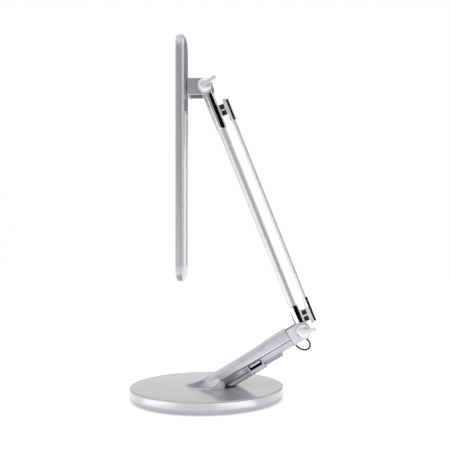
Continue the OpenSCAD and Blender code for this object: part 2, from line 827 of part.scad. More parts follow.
module head_front_frame() {
    top = head_over;
    bottom = head_over - head_len;
    inner = head_wall;
    color("#d6d6da") head_frame() difference() {
        union() {
            difference() {
                hull() {
                    head_slab(head_w, bottom, top, head_r, frame_t - 0.4, frame_t, $fn = hull_fn);
                    head_slab(head_w - 2 * head_bevel, bottom + head_bevel, top - head_bevel,
                        head_r - head_bevel, 0, 0.2, $fn = hull_fn);
                }
                head_slab(head_w - 2 * head_bevel - 1.2, bottom + head_bevel + 0.6,
                    top - head_bevel - 0.6, head_r - head_bevel - 0.6, lip_t, frame_t + 1);
            }
            head_bosses(4.6, lip_t - eps, stack_guide);
        }
        head_slab(window_w, window_bottom, window_top, window_r, -1, lip_t + 1);
        x_cylinder(swivel_pin_d, -5, 5);
        head_bosses(head_screw_d, lip_t - 0.4, 20);
    }
}

module head_back_cover() {
    top = head_over;
    bottom = head_over - head_len;
    color("#9b9ba1") head_frame() difference() {
        union() {
            difference() {
                hull() {
                    head_slab(head_w, bottom, top, head_r, frame_t, head_t - back_bevel, $fn = hull_fn);
                    head_slab(head_w - 2 * back_bevel, bottom + back_bevel, top - back_bevel,
                        head_r - back_bevel, head_t - 0.2, head_t, $fn = hull_fn);
                }
                head_slab(head_w - 2 * head_wall, bottom + head_wall, top - head_wall,
                    head_r - head_wall, frame_t - 1, head_t - head_wall);
            }
            head_bosses(4.6, stack_guide, head_t - head_wall + eps);
        }
        head_bosses(head_screw_d + 2 * seat_gap, -1, head_t + 1);
        head_bosses(head_screw_head + 2 * seat_gap, head_t - 1.2, head_t + 1);
    }
}

module diffuser() {
    color("#f4f4f0") head_frame() head_slab(guide_w, window_bottom - 2, window_top + 2, window_r,
        stack_diffuser, stack_diffuser + diffuser_t);
}

module light_guide() {
    color("#e6eef2") head_frame() head_slab(guide_w, window_bottom - 2, window_top + 2, 1,
        stack_guide, stack_guide + guide_t);
}

module reflector() {
    color("#fafafa") head_frame() head_slab(guide_w, window_bottom - 2, window_top + 2, 1,
        stack_film, stack_film + film_t);
}

module led_strips() {
    z0 = window_bottom;
    pitch = (window_top - window_bottom) / led_count;
    color("#f0e6b0") head_frame() for (side = [-1, 1]) {
        translate([-stack_guide - guide_t, side * (guide_w / 2 + 1.1) - 0.4, z0])
            cube([guide_t, 0.8, window_top - z0]);
        for (i = [0:led_count - 1])
            translate([-stack_guide - guide_t + 0.3, side * (guide_w / 2 + 0.4) - 0.3,
                z0 + (i + 0.5) * pitch - 1.5]) cube([guide_t - 0.6, 0.6, 3]);
    }
}

module driver_board() {
    color("#2f6b45") head_frame()
        head_slab(24, 8, head_over - 14, 1, head_t - head_wall - 1.2, head_t - head_wall);
}

module head_screws() {
    color("#8d9095") head_frame() for (z = head_screw_z, side = [-1, 1])
        translate([-head_t + 1.2, side * head_screw_y, z]) rotate([0, 90, 0])
            screw(head_screw_d, head_t - lip_t - 1.2, head_screw_head, 1);
}

base_top_cover();
base_bottom_tray();
base_ballast();
foot_mat();
tray_screws();
neck_foot_screws();
dc_inlet();
dc_inlet_pin();
neck_spine();
neck_upper_shell();
neck_lower_cover();
neck_foot_flange();
neck_foot_seal();
neck_cover_screws();
usb_receptacle();
usb_tongue();
usb_board();
neck_grommet();
lower_pivot_bolt();
lower_washers();
lower_knob();
arm_main_tube();
arm_rear_rod();
lower_main_sleeve();
upper_main_sleeve();
lower_rear_sleeve();
upper_rear_sleeve();
lower_bridge();
upper_bridge();
lower_bridge_plugs();
upper_bridge_plugs();
arm_grommet();
cable_loop();
upper_pivot_bolt();
upper_washers();
upper_knob();
head_bracket();
swivel_washer();
swivel_disc();
swivel_pin();
swivel_nut();
swivel_plate();
head_front_frame();
head_back_cover();
diffuser();
light_guide();
reflector();
led_strips();
driver_board();
head_screws();
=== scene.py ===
import json
import math
import bmesh
import bpy
from mathutils import Matrix, Vector


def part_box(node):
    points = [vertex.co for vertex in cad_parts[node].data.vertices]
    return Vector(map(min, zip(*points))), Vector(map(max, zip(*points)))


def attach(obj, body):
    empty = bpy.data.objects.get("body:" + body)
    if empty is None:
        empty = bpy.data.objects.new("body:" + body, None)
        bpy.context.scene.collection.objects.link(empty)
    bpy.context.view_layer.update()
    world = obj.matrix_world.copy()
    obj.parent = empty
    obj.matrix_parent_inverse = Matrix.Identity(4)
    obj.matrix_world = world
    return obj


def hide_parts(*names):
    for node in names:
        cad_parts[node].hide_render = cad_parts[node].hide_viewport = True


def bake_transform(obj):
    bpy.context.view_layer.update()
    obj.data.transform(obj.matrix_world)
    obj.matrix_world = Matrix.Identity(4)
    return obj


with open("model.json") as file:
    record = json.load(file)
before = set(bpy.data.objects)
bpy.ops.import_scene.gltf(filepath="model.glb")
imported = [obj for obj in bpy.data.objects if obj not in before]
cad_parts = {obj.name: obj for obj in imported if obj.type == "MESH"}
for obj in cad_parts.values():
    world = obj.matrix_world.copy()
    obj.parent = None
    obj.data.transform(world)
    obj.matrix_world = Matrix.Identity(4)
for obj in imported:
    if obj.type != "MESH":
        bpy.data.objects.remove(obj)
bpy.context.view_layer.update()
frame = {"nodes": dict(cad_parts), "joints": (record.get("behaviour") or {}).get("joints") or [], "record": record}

mm = 0.001
joints = {joint["name"]: Vector(joint["pos_m"]) for joint in frame["joints"]}
lowPivot = joints["arm_hinge"]
highPivot = joints["head_hinge"]
print("frame loaded:", len(frame["nodes"]), "nodes")


# small helpers, all sizes in millimetres

def plain():
    if bpy.context.object and bpy.context.object.mode != "OBJECT":
        bpy.ops.object.mode_set(mode="OBJECT")
    bpy.ops.object.select_all(action="DESELECT")


def take(obj):
    plain()
    obj.select_set(True)
    bpy.context.view_layer.objects.active = obj


def addBox(name, low, high):
    plain()
    bpy.ops.mesh.primitive_cube_add(size=1, location=[(a + b) / 2 * mm for a, b in zip(low, high)])
    obj = bpy.context.object
    obj.name = name
    obj.scale = [(b - a) * mm for a, b in zip(low, high)]
    bpy.ops.object.transform_apply(location=True, rotation=True, scale=True)
    return obj


def addRod(name, radius, start, end, axis="Z", sides=64, centre=(0, 0, 0)):
    plain()
    turn = {"X": (0, math.pi / 2, 0), "Y": (-math.pi / 2, 0, 0), "Z": (0, 0, 0)}[axis]
    way = {"X": Vector((1, 0, 0)), "Y": Vector((0, 1, 0)), "Z": Vector((0, 0, 1))}[axis]
    place = (Vector(centre) + way * (start + end) / 2) * mm
    bpy.ops.mesh.primitive_cylinder_add(vertices=sides, radius=radius * mm, depth=(end - start) * mm,
                                        location=place, rotation=turn)
    obj = bpy.context.object
    obj.name = name
    bpy.ops.object.transform_apply(location=True, rotation=True, scale=True)
    return obj


def pick(obj, kind, test):
    # goes into edit mode and selects what lies where the test says, by centre and normal
    if bpy.context.object != obj or obj.mode != "EDIT":
        take(obj)
        bpy.ops.object.mode_set(mode="EDIT")
    bpy.ops.mesh.select_mode(type=kind)
    bpy.ops.mesh.select_all(action="DESELECT")
    mesh = bmesh.from_edit_mesh(obj.data)
    for item in {"VERT": mesh.verts, "EDGE": mesh.edges, "FACE": mesh.faces}[kind]:
        if kind == "VERT":
            centre, normal = item.co, item.normal
        elif kind == "EDGE":
            centre, normal = (item.verts[0].co + item.verts[1].co) / 2, item.verts[1].co - item.verts[0].co
        else:
            centre, normal = item.calc_center_median(), item.normal
        if test(centre / mm, normal.normalized()):
            item.select_set(True)
    bmesh.update_edit_mesh(obj.data)


def roundEdges(obj, width, steps, test):
    pick(obj, "EDGE", test)
    bpy.ops.mesh.bevel(offset=width * mm, offset_type="OFFSET", segments=steps, profile=0.5, affect="EDGES")
    plain()


def shift(obj, move, test):
    pick(obj, "VERT", test)
    bpy.ops.transform.translate(value=[v * mm for v in move])
    plain()


def stretch(obj, size, centre, test):
    pick(obj, "VERT", test)
    bpy.ops.transform.resize(value=size, center_override=[v * mm for v in centre])
    plain()


def cutAcross(obj, point, normal, drop=False):
    # cuts across the mesh; with drop, what lies past the plane goes and the cut is filled
    pick(obj, "FACE", lambda c, n: True)
    bpy.ops.mesh.bisect(plane_co=[v * mm for v in point], plane_no=normal, use_fill=drop, clear_outer=drop)
    plain()


def cut(obj, *tools, join=False):
    for tool in tools:
        take(obj)
        change = obj.modifiers.new("cut", "BOOLEAN")
        change.operation = "UNION" if join else "DIFFERENCE"
        change.solver = "EXACT"
        change.object = tool
        bpy.ops.object.modifier_apply(modifier=change.name)
        bpy.data.objects.remove(tool, do_unlink=True)


def soften(obj, width, steps=3, angle=25):
    take(obj)
    change = obj.modifiers.new("soften", "BEVEL")
    change.width = width * mm
    change.segments = steps
    change.limit_method = "ANGLE"
    change.angle_limit = math.radians(angle)
    bpy.ops.object.modifier_apply(modifier=change.name)


def seat(obj, place):
    take(obj)
    obj.matrix_world = place
    bpy.ops.object.transform_apply(location=True, rotation=True, scale=True)


def complete(obj, finish, body, nodes, angle=32):
    # smooths, gives the finish and ties the piece to its CAD body
    take(obj)
    bpy.ops.object.mode_set(mode="EDIT")
    bpy.ops.mesh.select_all(action="SELECT")
    bpy.ops.mesh.remove_doubles(threshold=0.002 * mm)
    bpy.ops.object.mode_set(mode="OBJECT")
    bpy.ops.object.shade_smooth_by_angle(angle=math.radians(angle))
    change = obj.modifiers.new("normals", "WEIGHTED_NORMAL")
    change.keep_sharp = True
    bpy.ops.object.modifier_apply(modifier=change.name)
    obj.data.materials.clear()
    obj.data.materials.append(finish)
    if body:
        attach(obj, body)
    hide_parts(*nodes)
    return obj


# camera

cameraLook = {"place": (53, -650, 143), "lens": 52.0, "sideShift": -0.0778, "riseShift": 0.0664}
cameraData = bpy.data.cameras.new("camera")
cameraData.sensor_width = 36
cameraData.lens = cameraLook["lens"]
cameraData.shift_x = cameraLook["sideShift"]
cameraData.shift_y = cameraLook["riseShift"]
camera = bpy.data.objects.new("camera", cameraData)
camera.location = Vector(cameraLook["place"]) * mm
camera.rotation_euler = (math.radians(90), 0, 0)
bpy.context.scene.collection.objects.link(camera)
bpy.context.scene.camera = camera


# finishes

def colour(code):
    # an sRGB hex value as linear light
    parts = [int(code[i:i + 2], 16) / 255 for i in (0, 2, 4)]
    return [p / 12.92 if p <= 0.04045 else ((p + 0.055) / 1.055) ** 2.4 for p in parts] + [1]


def addNode(tree, kind, settings={}, links={}):
    node = tree.nodes.new(kind)
    for key, value in settings.items():
        if isinstance(key, int) or key in node.inputs:
            node.inputs[key].default_value = value
        else:
            setattr(node, key, value)
    for key, source in links.items():
        tree.links.new(source, node.inputs[key])
    return node


def startFinish(name, settings):
    finish = bpy.data.materials.new(name)
    finish.use_nodes = True
    tree = finish.node_tree
    tree.nodes.clear()
    shader = addNode(tree, "ShaderNodeBsdfPrincipled", settings)
    addNode(tree, "ShaderNodeOutputMaterial", {}, {"Surface": shader.outputs["BSDF"]})
    where = addNode(tree, "ShaderNodeTexCoord").outputs["Object"]
    return finish, tree, shader, where


def grainFinish(name, look):
    # a fine grain, a slow drift of tone and a slight bump
    finish, tree, shader, where = startFinish(name, look["shader"])
    if "stretch" in look:
        turn = look.get("turn", (0, 0, 0))
        where = addNode(tree, "ShaderNodeMapping", {"Scale": look["stretch"], "Rotation": turn},
                        {"Vector": where}).outputs["Vector"]
    fine = addNode(tree, "ShaderNodeTexNoise", {
        "Scale": 1 / (look["grain"] * mm), "Detail": 3.0, "Roughness": 0.6}, {"Vector": where}).outputs["Fac"]
    slow = addNode(tree, "ShaderNodeTexNoise", {"Scale": 1 / (look["drift"] * mm), "Detail": 2.0},
                   {"Vector": where}).outputs["Fac"]
    both = addNode(tree, "ShaderNodeMix", {"data_type": "FLOAT", 0: look.get("share", 0.35)},
                   {2: fine, 3: slow}).outputs[0]
    tone = addNode(tree, "ShaderNodeMapRange", {"From Min": 0.3, "From Max": 0.7},
                   {"Value": both}).outputs["Result"]
    base = addNode(tree, "ShaderNodeMix", {
        "data_type": "RGBA", 6: colour(look["dark"]), 7: colour(look["light"])}, {0: tone}).outputs[2]
    low, high = look["rough"]
    rough = addNode(tree, "ShaderNodeMapRange", {
        "From Min": 0.3, "From Max": 0.7, "To Min": low, "To Max": high}, {"Value": fine}).outputs["Result"]
    bump = addNode(tree, "ShaderNodeBump", {"Strength": look["bump"], "Distance": look["depth"] * mm},
                   {"Height": fine}).outputs["Normal"]
    for socket, source in (("Base Color", base), ("Roughness", rough), ("Normal", bump)):
        tree.links.new(source, shader.inputs[socket])
    return finish


# Silver paint sprayed on pressed steel: aluminium flakes under a clear semi-gloss film, so it mirrors
# softly. Real flakes are about 0.03 mm; drawn at 0.35 mm so that they show.
silverPaint = grainFinish("silverSprayPaintOnSteel", {
    "dark": "B5B3B6", "light": "C1BFC2", "grain": 0.35, "drift": 60, "rough": (0.26, 0.33), "bump": 0.12,
    "depth": 0.02, "shader": {"Metallic": 0.6, "Coat Weight": 0.7, "Coat Roughness": 0.05}})
# Silver-grey moulded ABS of the tray: a little duller than the cover, spark-eroded mould texture of 0.4 mm.
trayPlastic = grainFinish("silverMouldedAbs", {
    "dark": "ACABB1", "light": "B8B7BD", "grain": 0.4, "drift": 40, "rough": (0.36, 0.46), "bump": 0.2,
    "depth": 0.03, "shader": {"Metallic": 0.35}})
# Silver paint on the moulded ABS neck: flakes at 0.3 mm, satin, with a faint violet cast in the dark.
shellPaint = grainFinish("silverSprayPaintOnAbs", {
    "dark": "BDBBC1", "light": "C8C6CC", "grain": 0.3, "drift": 35, "rough": (0.27, 0.35), "bump": 0.16,
    "depth": 0.02, "shader": {"Metallic": 0.6, "Coat Weight": 0.12, "Coat Roughness": 0.2}})
# The same paint on the neck's lower cover, more violet, and darker as painted shade, since the cover faces down.
coverShadedPaint = grainFinish("silverSprayPaintOnAbsCoverWithPaintedShade", {
    "dark": "A9A7B1", "light": "B6B4BD", "grain": 0.3, "drift": 30, "rough": (0.3, 0.38), "bump": 0.16,
    "depth": 0.02, "shader": {"Metallic": 0.6, "Coat Weight": 0.08, "Coat Roughness": 0.25}})
# Silver paint on the head's back shell: a satin grey.
headPaint = grainFinish("silverSprayPaintOnHead", {
    "dark": "B1AFB6", "light": "BEBCC2", "grain": 0.3, "drift": 45, "rough": (0.25, 0.33), "bump": 0.14,
    "depth": 0.02, "shader": {"Metallic": 0.65, "Coat Weight": 0.15, "Coat Roughness": 0.18}})
# The same paint on the head's front frame, made paler as a painted highlight, so that the lit side's rim stands
# out.
frameHighlightPaint = grainFinish("silverSprayPaintOnHeadFrameWithPaintedHighlight", {
    "dark": "CAC8CC", "light": "D6D4D8", "grain": 0.3, "drift": 45, "rough": (0.24, 0.31), "bump": 0.12,
    "depth": 0.02, "shader": {"Metallic": 0.5, "Coat Weight": 0.15, "Coat Roughness": 0.15}})
# Satin silver paint on die cast zinc: knobs, bridges and the neck's foot, orange peel at 0.5 mm.
knobPaint = grainFinish("satinSilverPaintOnZinc", {
    "dark": "D6D6DA", "light": "E2E2E6", "grain": 0.5, "drift": 8, "rough": (0.26, 0.34), "bump": 0.18,
    "depth": 0.03, "shader": {"Metallic": 0.5, "Coat Weight": 0.2, "Coat Roughness": 0.2}})
# Silver paint on the folded steel bracket: darker, satin, slightly rough.
bracketPaint = grainFinish("silverSprayPaintOnBracket", {
    "dark": "ABABB2", "light": "B8B8BE", "grain": 0.35, "drift": 12, "rough": (0.28, 0.36), "bump": 0.2,
    "depth": 0.03, "shader": {"Metallic": 0.6}})
# Die cast zinc of the neck's spine under thin pale paint: cast grain of 0.6 mm, soft highlights.
castAlloy = grainFinish("paintedDieCastZinc", {
    "dark": "CECED2", "light": "DADADE", "grain": 0.6, "drift": 9, "rough": (0.3, 0.42), "bump": 0.3,
    "depth": 0.04, "shader": {"Metallic": 0.45}})
# Satin anodised aluminium tube: drawn lines run along it under an even pale oxide. Real ones are finer;
# drawn 0.6 mm apart so that they show.
satinTube = grainFinish("satinAnodisedAluminiumTube", {
    "dark": "DADADF", "light": "DFDFE4", "grain": 0.6, "drift": 30, "rough": (0.24, 0.28), "bump": 0.03,
    "depth": 0.02, "stretch": (1, 1, 0.05), "turn": (0, math.radians(21.8), 0), "shader": {"Metallic": 0.5}})
# Chrome plate on polished brass: near-mirror, faint polishing swirl at 2 mm.
chromePlate = grainFinish("polishedChromePlate", {
    "dark": "D6D7DB", "light": "E4E5E8", "grain": 2.0, "drift": 12, "rough": (0.03, 0.07), "bump": 0.03,
    "depth": 0.01, "shader": {"Metallic": 1.0}})
# Zinc plated steel: crystals of about 0.7 mm, slightly blue.
zincScrew = grainFinish("zincPlatedSteel", {
    "dark": "8E9196", "light": "ABAEB3", "grain": 0.7, "drift": 5, "rough": (0.25, 0.42), "bump": 0.15,
    "depth": 0.02, "shader": {"Metallic": 1.0}})
# Cold rolled steel of the ballast and plate: dark, with faint roll lines along Y.
rawSteel = grainFinish("coldRolledSteel", {
    "dark": "66686C", "light": "7D7F83", "grain": 1.2, "drift": 25, "rough": (0.35, 0.5), "bump": 0.2,
    "depth": 0.03, "stretch": (1, 0.1, 1), "shader": {"Metallic": 1.0}})
# Nickel plate on contacts: warm white metal, half bright.
nickelPlate = grainFinish("nickelPlatedShell", {
    "dark": "BDB9B0", "light": "D4D0C8", "grain": 0.5, "drift": 4, "rough": (0.18, 0.3), "bump": 0.1,
    "depth": 0.01, "shader": {"Metallic": 1.0}})
# The port's shell is nickel at its mouth. Further in, over half a millimetre, it goes near black: painted shade
# for the dark inside of the port.
portShellWithPaintedShade, tree, shader, where = startFinish("nickelPortShellWithPaintedShadeInside", {"Metallic": 1.0})
along = addNode(tree, "ShaderNodeSeparateXYZ", {}, {"Vector": where}).outputs["Y"]
inside = addNode(tree, "ShaderNodeMapRange", {"From Min": -11.25 * mm, "From Max": -10.75 * mm},
                 {"Value": along})
speckle = addNode(tree, "ShaderNodeTexNoise", {"Scale": 1 / (0.5 * mm)}, {"Vector": where}).outputs["Fac"]
bright = addNode(tree, "ShaderNodeMix", {"data_type": "RGBA", 6: colour("A9A69E"), 7: colour("C9C6BE")},
                 {0: speckle})
# near black deeper in: the painted shade inside the port
tone = addNode(tree, "ShaderNodeMix", {"data_type": "RGBA", 7: colour("0E0E0F")},
               {0: inside.outputs["Result"], 6: bright.outputs[2]})
tree.links.new(tone.outputs[2], shader.inputs["Base Color"])
blur = addNode(tree, "ShaderNodeMapRange", {"To Min": 0.25, "To Max": 0.6}, {"Value": speckle})
tree.links.new(blur.outputs["Result"], shader.inputs["Roughness"])
# Black moulded plastic: fine matt mould texture, no sheen.
blackPlastic = grainFinish("blackMouldedPlastic", {
    "dark": "131314", "light": "1E1E20", "grain": 0.4, "drift": 6, "rough": (0.38, 0.52), "bump": 0.3,
    "depth": 0.03, "shader": {"Specular IOR Level": 0.4}})
# Black extruded cable skin: smooth and a little shiny.
cableRubber = grainFinish("blackExtrudedPvc", {
    "dark": "19191A", "light": "262627", "grain": 0.5, "drift": 5, "rough": (0.4, 0.52), "bump": 0.2,
    "depth": 0.02, "shader": {"Specular IOR Level": 0.4}})
# Black foam under the base: coarse and dull. The same black on the seal round the neck's toe is a painted shadow,
# a black pad put in the shadow gap under the toe.
footFoamAndToeShadow = grainFinish("blackEvaFoamAndToeShadow", {
    "dark": "1A1A1B", "light": "2C2C2E", "grain": 0.8, "drift": 15, "rough": (0.75, 0.9), "bump": 0.5,
    "depth": 0.1, "shader": {"Specular IOR Level": 0.2}})
# Grey nylon of the friction washers: dull and even.
frictionNylon = grainFinish("greyMouldedNylon", {
    "dark": "2E2E30", "light": "3C3C3F", "grain": 0.5, "drift": 5, "rough": (0.5, 0.6), "bump": 0.2,
    "depth": 0.02, "shader": {"Specular IOR Level": 0.4}})
# White nylon of the port's tongue: slightly warm, half gloss.
whitePlastic = grainFinish("whiteMouldedNylon", {
    "dark": "D9D7D0", "light": "ECEAE4", "grain": 0.5, "drift": 5, "rough": (0.35, 0.5), "bump": 0.15,
    "depth": 0.02, "shader": {"Coat Weight": 0.05}})
# Opal acrylic: milky white with a satin face.
opalDiffuser = grainFinish("opalSatinAcrylic", {
    "dark": "E2E2DF", "light": "ECECEA", "grain": 0.5, "drift": 30, "rough": (0.32, 0.42), "bump": 0.1,
    "depth": 0.01, "shader": {"Coat Weight": 0.1, "IOR": 1.49}})
# Clear acrylic of the light guide: glassy, faintly blue.
clearAcrylic = grainFinish("clearMouldedAcrylic", {
    "dark": "E9F1F4", "light": "F4F9FA", "grain": 1.5, "drift": 20, "rough": (0.05, 0.12), "bump": 0.05,
    "depth": 0.02, "shader": {"Transmission Weight": 0.8, "IOR": 1.49}})
# White polyester film behind the light guide: bright and dull.
whiteFilm = grainFinish("whitePolyesterFilm", {
    "dark": "F0F0EE", "light": "FAFAF9", "grain": 0.6, "drift": 25, "rough": (0.5, 0.6), "bump": 0.1,
    "depth": 0.01, "shader": {}})
# Green solder mask of the two boards: glossy lacquer with a fine weave under it.
circuitBoard = grainFinish("greenSolderMask", {
    "dark": "1C4A2E", "light": "2C6B44", "grain": 0.8, "drift": 6, "rough": (0.28, 0.4), "bump": 0.25,
    "depth": 0.03, "shader": {"Coat Weight": 0.3}})
# White solder mask of the strips, yellow where the LEDs sit.
ledBoard = grainFinish("whiteSolderMaskWithLeds", {
    "dark": "D8CE9A", "light": "F1EBCB", "grain": 1.2, "drift": 4, "rough": (0.3, 0.45), "bump": 0.2,
    "depth": 0.02, "shader": {}})
print("finishes ready")

bySlot = {
    "silver_paint": silverPaint, "tray_paint": trayPlastic, "raw_steel": rawSteel, "foot_rubber": footFoamAndToeShadow,
    "zinc_screw": zincScrew, "black_plastic": blackPlastic, "nickel_contact": nickelPlate,
    "cast_alloy": castAlloy, "silver_shell": shellPaint, "silver_cover": coverShadedPaint,
    "usb_tongue": whitePlastic, "circuit_board": circuitBoard, "chrome": chromePlate,
    "friction_nylon": frictionNylon, "satin_knob": knobPaint, "satin_tube": satinTube,
    "cable_rubber": cableRubber, "silver_bracket": bracketPaint, "frame_paint": frameHighlightPaint,
    "opal_diffuser": opalDiffuser, "clear_acrylic": clearAcrylic, "white_film": whiteFilm,
    "led_board": ledBoard,
}
byNode = {"usb_receptacle": portShellWithPaintedShade, "swivel_disc": bracketPaint}  # these two leave their slot's finish
for part in frame["record"]["subparts"]:
    node = frame["nodes"][part["node"]]
    node.data.materials.clear()
    node.data.materials.append(byNode.get(part["node"], bySlot[part["material_slot"]]))


# cable loop, held by the neck's and the arm's grommets

cable = {
    "route": [(83.2, 57.6), (86.4, 54.8), (88.8, 52.7), (91, 50.9), (93.6, 49.1), (96.4, 48.1), (99.2, 48.1),
              (101.6, 49.4), (103, 51.7), (103, 54.4), (102, 56.7), (100.2, 58.4), (98.6, 60), (97.2, 62.2)],
    "thick": 1.9, "neckHolds": 2, "armHolds": 10,  # the last point on the neck, the first on the arm
}


def makeCable():
    line = bpy.data.curves.new("cableLoop", "CURVE")
    line.dimensions = "3D"
    line.bevel_depth = cable["thick"] / 2 * mm
    line.bevel_resolution = 4
    line.use_fill_caps = True
    spline = line.splines.new("POLY")
    points = [Vector((x, 0, z)) * mm for x, z in cable["route"]]
    spline.points.add(len(points) - 1)
    for point, place in zip(spline.points, points):
        point.co = (*place, 1)
    obj = bpy.data.objects.new("cableLoop", line)
    bpy.context.scene.collection.objects.link(obj)
    take(obj)
    bpy.ops.object.convert(target="MESH")
    obj = bpy.context.object
    complete(obj, cableRubber, None, ["cable_loop"], 80)
    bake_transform(obj)


makeCable()
print("cable loop made")


# base

base = {"radius": 76.5, "joint": 5, "top": 13, "edge": 1.4, "wall": 2, "trayInset": 0.5, "trayCurve": 3.6,
        "matTop": 1, "inletHeight": 8.4, "inletHole": 3.1, "bead": 0.35, "footHole": 2.1, "footPitch": 9,
        "trayWall": 4.2, "screwCircle": 58, "screwWell": 3.3, "screwBore": 1.65, "boss": 4.4}


def makeBase():
    r = base["radius"]
    cover = addRod("baseCover", r, base["joint"], base["top"], sides=192)
    roundEdges(cover, base["edge"], 6, lambda c, n: c.z > base["top"] - 0.01 and abs(n.z) < 0.01)
    # a fine bead under the rim, where the cover meets the tray
    roundEdges(cover, base["bead"], 3, lambda c, n: c.z < base["joint"] + 0.01 and abs(n.z) < 0.01)
    hollow = addRod("hollow", r - base["wall"], base["joint"] - 1, base["top"] - base["wall"], sides=192)
    hole = addRod("hole", base["inletHole"], r - 6, r + 2, "Y", 48, (0, 0, base["inletHeight"]))
    cut(cover, hollow, hole)
    for i in range(3):
        cut(cover, addRod("hole", base["footHole"], 9, 14, "Z", 32, (base["footPitch"] * i, 0, 0)))
    complete(cover, silverPaint, "base", ["base_top_cover"])

    tray = addRod("baseTray", r - base["trayInset"], base["matTop"], base["joint"], sides=192)
    roundEdges(tray, base["trayCurve"], 9, lambda c, n: c.z < base["matTop"] + 0.01 and abs(n.z) < 0.01)
    hollow = addRod("hollow", r - base["trayWall"], base["matTop"] + 2, base["joint"] + 1, sides=128)
    cut(tray, hollow)
    spots = [Vector((math.cos(a), math.sin(a), 0)) * base["screwCircle"]
             for a in (math.pi / 4 * k for k in (1, 3, 5, 7))]
    for spot in spots:
        boss = addRod("boss", base["boss"], base["matTop"] + 0.5, 4.2, "Z", 40, spot)
        cut(tray, boss, join=True)
        cut(tray, addRod("well", base["screwWell"], 0, 2.95, "Z", 40, spot),
            addRod("bore", base["screwBore"], 0, 6, "Z", 32, spot))
    complete(tray, trayPlastic, "base", ["base_bottom_tray"])


makeBase()
print("base made")


# neck

neck = {
    "foot": (5.2, 0, 13), "tilt": 30.6, "half": 11.3, "length": 91, "gap": 0.15, "blank": 9.4,
    # height of the top line along the neck
    "rise": [(-26, 8.9), (0, 9.0), (30, 9.3), (50, 9.55), (57, 9.8), (62, 10.15), (67, 10.6), (72, 10.8),
             (82, 11.05), (91, 11.2)],
    "chamfer": 2.5, "crown": {2.3: 0.12, 4.6: 0.05}, "lean": 0.35,
    # how far the chamfer has closed along the hood
    "close": {57: 0.0, 62: 0.45, 67: 0.8, 72: 0.86, 82: 0.86, 91: 0.86},
    # half width of the lower cover at each depth
    "sides": [(0.15, 11.3), (5.4, 9.9), (6.6, 8.7), (7.4, 8.7), (9.0, 9.7), (11, 9.0)],
    "usb": (39.6, 56.8), "usbOpen": (41.2, 55.2, 0.6, 6.4), "comb": 76.6, "combDepth": 6.7,
    "slots": (79.0, 82.0, 85.0, 88.0), "slotWide": 1.3, "screws": (30, 66), "well": 3.1, "bore": 1.65,
    # rooms inside the upper shell, troughs of the lower one by start, depth and end, and the cable's slot
    "rooms": [((-40, -9.85, -2), (95, 9.85, 7.6)), ((70, -9.85, 2), (95, 9.85, 9.4))],
    "troughs": [(-30, 8.3, 76.6), (60, 5.2, 87.4)], "troughHalf": 7.4,
    "cableSlot": ((87, -2.85, -9), (92, 2.85, -2.2)), "plateRoom": ((-8, -7.5, 12), (26, 7.5, 17)),
    # foot flare: half width, height above the table, front and back edge of each ring
    "flare": [(24.1, 14.2, -20.6, 27.6), (22.0, 14.8, -18.2, 26), (19.0, 15.8, -14.2, 25),
              (15.9, 17.3, -9.2, 24), (13.1, 19.3, -3.5, 24), (11.6, 21.6, 1.4, 24)],
    "flareThick": 0.6,
    # round foot, up to the place where the seal takes over; the seal is a black pad standing in for the shadow gap
    # under the toe
    "disc": {"middle": 3.5, "radius": 24.3, "top": 14.2, "split": 18.8, "edge": 0.4},
}
neckLean = Matrix.Rotation(-math.radians(neck["tilt"]), 4, "Y")
neckPlace = Matrix.Translation(Vector(neck["foot"]) * mm) @ neckLean
neckAcross = neckPlace.to_3x3() @ Vector((0, 0, 1))


def makeFlare(upper):
    # a thin oval flange that sweeps up into the neck; one half belongs to each shell
    wide, top, front, back = neck["flare"][0]
    flare = addRod("flare", wide, top - neck["flareThick"], top, sides=96)
    stretch(flare, ((back - front) / 2 / wide, 1, 1), (0, 0, 0), lambda c, n: True)
    shift(flare, ((front + back) / 2, 0, 0), lambda c, n: True)
    pick(flare, "FACE", lambda c, n: n.z > 0.9)
    for (w0, z0, f0, b0), (w1, z1, f1, b1) in zip(neck["flare"], neck["flare"][1:]):
        middle = (f1 + b1) / 2
        bpy.ops.mesh.extrude_region_move(
            TRANSFORM_OT_translate={"value": ((middle - (f0 + b0) / 2) * mm, 0, (z1 - z0) * mm)})
        bpy.ops.transform.resize(value=((b1 - f1) / (b0 - f0), w1 / w0, 1),
                                 center_override=(middle * mm, 0, z1 * mm))
    plain()
    side = neckAcross if upper else -neckAcross
    point = Vector(neck["foot"]) + side * neck["gap"]
    cutAcross(flare, point, -side, drop=True)
    cutAcross(flare, (neck["disc"]["split"], 0, 0), (1, 0, 0), drop=True)
    return flare


def makeFoot():
    disc = neck["disc"]
    top = disc["top"]
    foot = addRod("neckFoot", disc["radius"], neck["foot"][2] + 0.02, top, sides=128,
                  centre=(disc["middle"], 0, 0))
    roundEdges(foot, disc["edge"], 4, lambda c, n: c.z > top - 0.01 and abs(n.z) < 0.01)
    cutAcross(foot, (disc["split"], 0, 0), (1, 0, 0), drop=True)
    cut(foot, addBox("plateRoom", *neck["plateRoom"]))
    complete(foot, knobPaint, "base", ["neck_foot_flange"])


